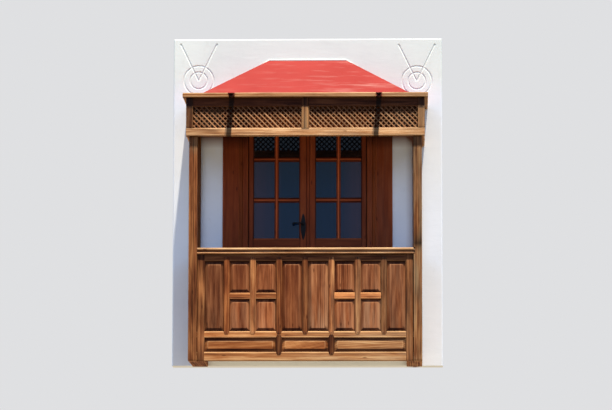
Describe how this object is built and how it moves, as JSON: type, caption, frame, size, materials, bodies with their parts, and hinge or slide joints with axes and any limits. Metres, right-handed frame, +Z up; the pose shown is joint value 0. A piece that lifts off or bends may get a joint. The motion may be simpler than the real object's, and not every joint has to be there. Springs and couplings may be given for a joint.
{
  "type": "roofed timber balcony with lattice frieze",
  "caption": "Wall-hung timber balcony with panelled parapet, moulded handrail, lattice frieze and red hipped roof, in a plaster surround with a glazed double door behind it.",
  "frame": {"origin": "on the flat back of the wall, on the centre line, level with the balcony's floor", "axes": "+X to the right seen from outside, +Y from the balcony through the wall and out of its back, +Z up"},
  "size_m": [2.748, 1.1879, 3.375],
  "materials": {
    "plaster": "smooth painted plaster over hollow block",
    "door_wood": "dark stained and varnished",
    "balcony_wood": "oiled softwood, weathered, with open grain",
    "panel_wood": "oiled softwood, weathered",
    "bleached_wood": "oiled softwood bleached by the sun",
    "lattice_wood": "thin softwood slats",
    "pane_glass": "clear window glass in front of a dark room",
    "forged_iron": "black forged iron",
    "roof_paint": "matt red paint with pale streaks",
    "floor_tile": "plain tile",
    "spout_wood": "reddish stained timber"
  },
  "bodies": {
    "root": {"wall_left": "plaster", "wall_right": "plaster", "wall_over_door": "plaster", "wall_under_door": "plaster", "door_frame": "door_wood", "door_leaf_left": "door_wood", "door_leaf_right": "door_wood", "door_glass": "pane_glass", "door_handle": "forged_iron", "side_board_left": "door_wood", "side_board_right": "door_wood", "floor_slab": "plaster", "floor_finish": "floor_tile", "bearer_left": "balcony_wood", "bearer_right": "balcony_wood", "post_left": "balcony_wood", "post_right": "balcony_wood", "wall_post_left": "balcony_wood", "wall_post_right": "balcony_wood", "parapet_frame": "balcony_wood", "parapet_panels": "panel_wood", "parapet_long_panels": "bleached_wood", "side_parapet_left": "balcony_wood", "side_parapet_right": "balcony_wood", "handrail_front": "bleached_wood", "handrail_left": "bleached_wood", "handrail_right": "bleached_wood", "beam_front": "bleached_wood", "beam_left": "bleached_wood", "beam_right": "bleached_wood", "frieze_frame_front": "balcony_wood", "frieze_frame_left": "balcony_wood", "frieze_frame_right": "balcony_wood", "lattice_front_left": "lattice_wood", "lattice_front_right": "lattice_wood", "lattice_left": "lattice_wood", "lattice_right": "lattice_wood", "cornice": "bleached_wood", "ceiling": "balcony_wood", "roof": "roof_paint", "spouts": "spout_wood"}
  },
  "joints": []
}
